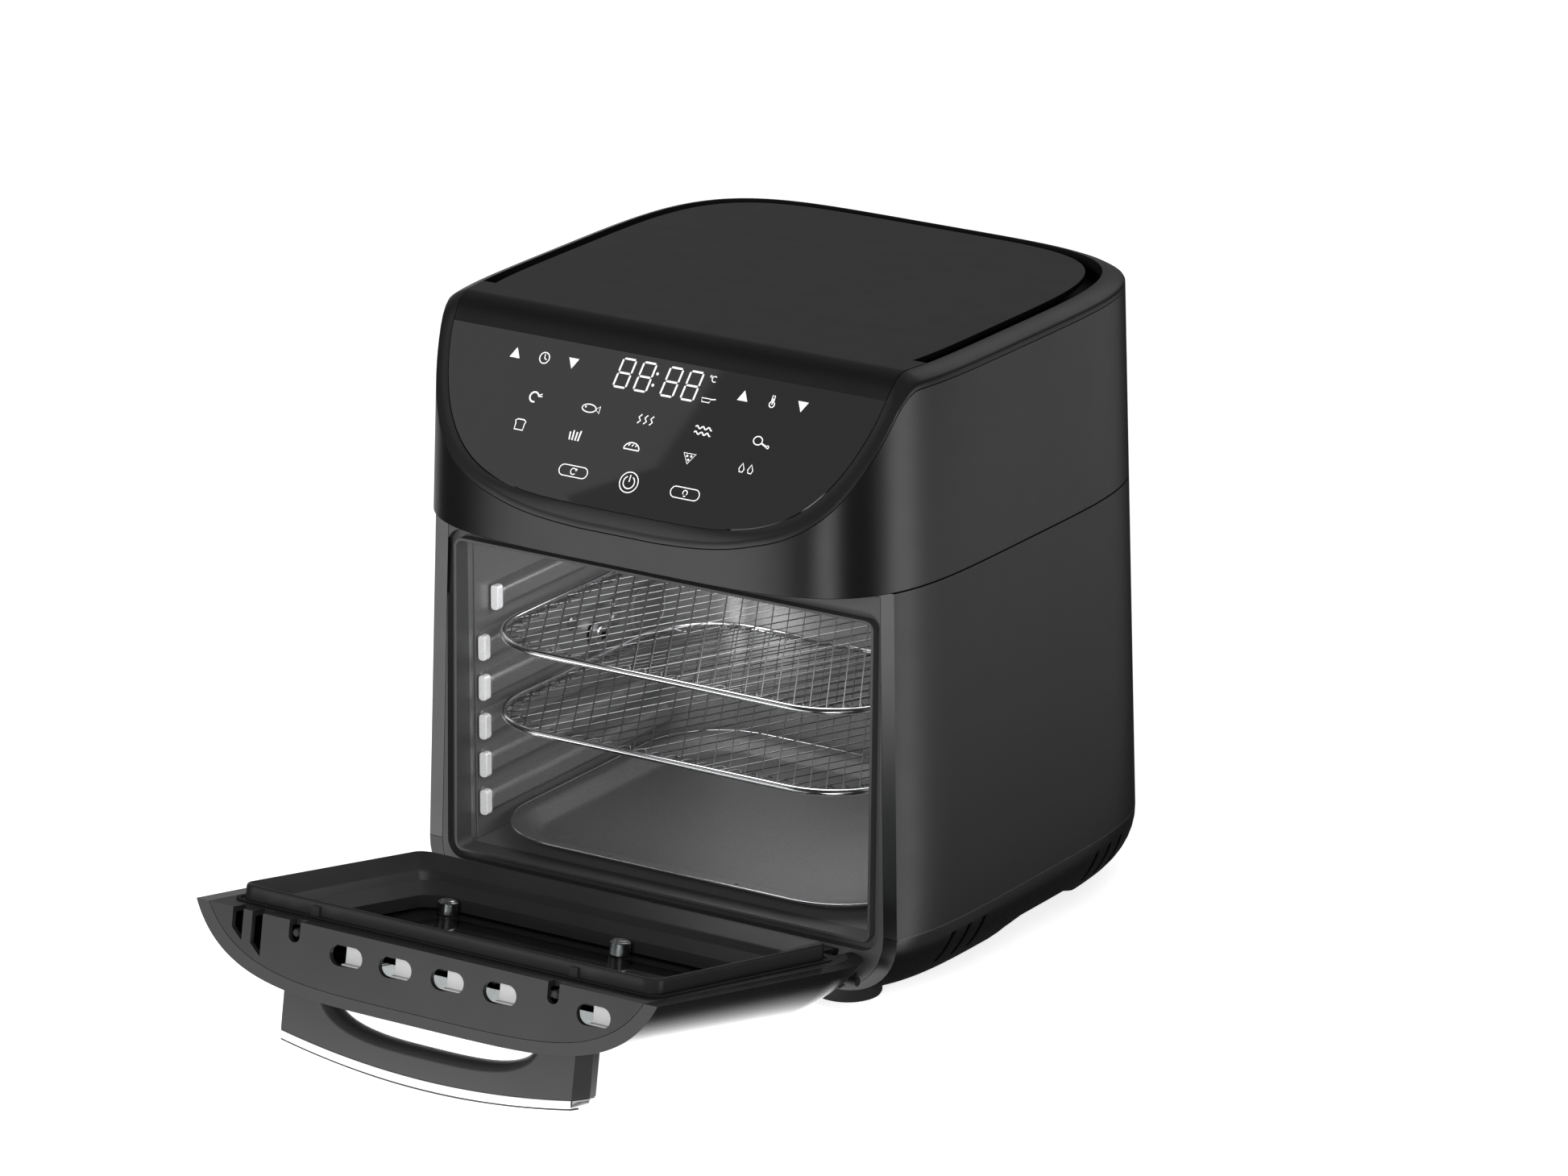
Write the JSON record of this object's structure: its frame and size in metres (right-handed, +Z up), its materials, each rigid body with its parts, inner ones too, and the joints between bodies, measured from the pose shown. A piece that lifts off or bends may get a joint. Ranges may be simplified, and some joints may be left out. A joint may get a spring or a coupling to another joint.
{
  "type": "toaster oven",
  "caption": "Countertop air-fryer oven with drop-down glass door, sliding wire racks and drip tray, tilted touch panel and top convection fan.",
  "frame": {"origin": "on the floor under the middle of the whole part with its door open, with X = 0 on the oven's plane of symmetry", "axes": "+Z up, -Y toward the user (the door side), +X to the user's right; the door is open at rest"},
  "size_m": [0.3096, 0.4968, 0.3363],
  "materials": {
    "base_pan": "moulded, glossy black",
    "lower_housing": "satin charcoal with fine grain",
    "upper_housing": "satin charcoal with fine grain",
    "top_bezel": "satin dark grey",
    "top_cover": "fine grained dark grey",
    "vent_deck": "black, slotted",
    "control_glass": "smooth black touch panel with white printed symbols",
    "control_board": "green solder resist",
    "power_board": "green solder resist",
    "front_frame": "satin dark grey coating",
    "rear_exhaust_cover": "louvred",
    "cord_inlet": "moulded bush",
    "foot": "moulded",
    "cavity_liner": "non-stick grey coating with fine grain",
    "side_panel": "non-stick grey coating, pressed ribs",
    "heating_element": "sheathed tube, heat tinted",
    "element_guard": "welded wire",
    "fan_shroud": "spun sheet",
    "convection_fan": "stamped blades on a steel shaft",
    "motor_bracket": "folded sheet",
    "fan_motor": "drawn can",
    "lamp_housing": "drawn box",
    "lamp_bulb": "clear bulb in a ceramic holder",
    "lamp_cover": "frosted",
    "rotisserie_motor": "geared motor can",
    "rotisserie_socket": "square drive socket",
    "spit_support": "folded cradle",
    "rack": "plated wire",
    "drip_tray": "non-stick grey coating",
    "hinge_bracket": "stamped",
    "hinge_pin": "turned",
    "door_shell": "satin charcoal with fine grain",
    "door_inner_frame": "satin dark grey, vented",
    "door_gasket": "silicone lip",
    "door_outer_glass": "curved tinted pane",
    "door_inner_glass": "flat tempered pane with black border",
    "glass_post": "turned stand-off",
    "door_handle": "satin dark grey",
    "handle_trim": "polished front strip",
    "handle_screw": "pan head"
  },
  "bodies": {
    "oven": {"base_pan": "base_pan", "lower_housing": "lower_housing", "upper_housing": "upper_housing", "top_bezel": "top_bezel", "top_cover": "top_cover", "vent_deck": "vent_deck", "control_glass": "control_glass", "control_board": "control_board", "power_board": "power_board", "front_frame": "front_frame", "rear_exhaust_cover": "rear_exhaust_cover", "cord_inlet": "cord_inlet", "foot_front_left": "foot", "foot_front_right": "foot", "foot_rear_left": "foot", "foot_rear_right": "foot", "cavity_liner": "cavity_liner", "left_side_panel": "side_panel", "right_side_panel": "side_panel", "heating_element": "heating_element", "element_guard": "element_guard", "fan_shroud": "fan_shroud", "motor_bracket": "motor_bracket", "fan_motor": "fan_motor", "lamp_housing": "lamp_housing", "lamp_bulb": "lamp_bulb", "lamp_cover": "lamp_cover", "rotisserie_motor": "rotisserie_motor", "spit_support": "spit_support", "hinge_bracket_left": "hinge_bracket", "hinge_bracket_right": "hinge_bracket"},
    "door": {"door_shell": "door_shell", "door_inner_frame": "door_inner_frame", "door_gasket": "door_gasket", "door_outer_glass": "door_outer_glass", "door_inner_glass": "door_inner_glass", "glass_post_left": "glass_post", "glass_post_right": "glass_post", "door_handle": "door_handle", "handle_trim": "handle_trim", "handle_screw_left": "handle_screw", "handle_screw_right": "handle_screw", "hinge_pin_left": "hinge_pin", "hinge_pin_right": "hinge_pin"},
    "upper_rack": {"upper_rack": "rack"},
    "lower_rack": {"lower_rack": "rack"},
    "drip_tray": {"drip_tray": "drip_tray"},
    "fan": {"convection_fan": "convection_fan"},
    "rotisserie_drive": {"rotisserie_socket": "rotisserie_socket"}
  },
  "joints": [
    {"name": "door_hinge", "type": "hinge", "parent": "oven", "child": "door", "pos_m": [0, -0.04723, 0.022], "axis": [1, 0, 0], "range_deg": [-80, 0]},
    {"name": "upper_rack_slide", "type": "slide", "parent": "oven", "child": "upper_rack", "axis": [0, -1, 0], "range_m": [0, 0.16]},
    {"name": "lower_rack_slide", "type": "slide", "parent": "oven", "child": "lower_rack", "axis": [0, -1, 0], "range_m": [0, 0.16]},
    {"name": "drip_tray_slide", "type": "slide", "parent": "oven", "child": "drip_tray", "axis": [0, -1, 0], "range_m": [0, 0.028]},
    {"name": "fan_spin", "type": "hinge", "parent": "oven", "child": "fan", "pos_m": [0, 0.08937, 0.247], "axis": [0, 0, 1], "continuous": true},
    {"name": "rotisserie_spin", "type": "hinge", "parent": "oven", "child": "rotisserie_drive", "pos_m": [-0.125, 0.09417, 0.1215], "axis": [1, 0, 0], "continuous": true}
  ]
}
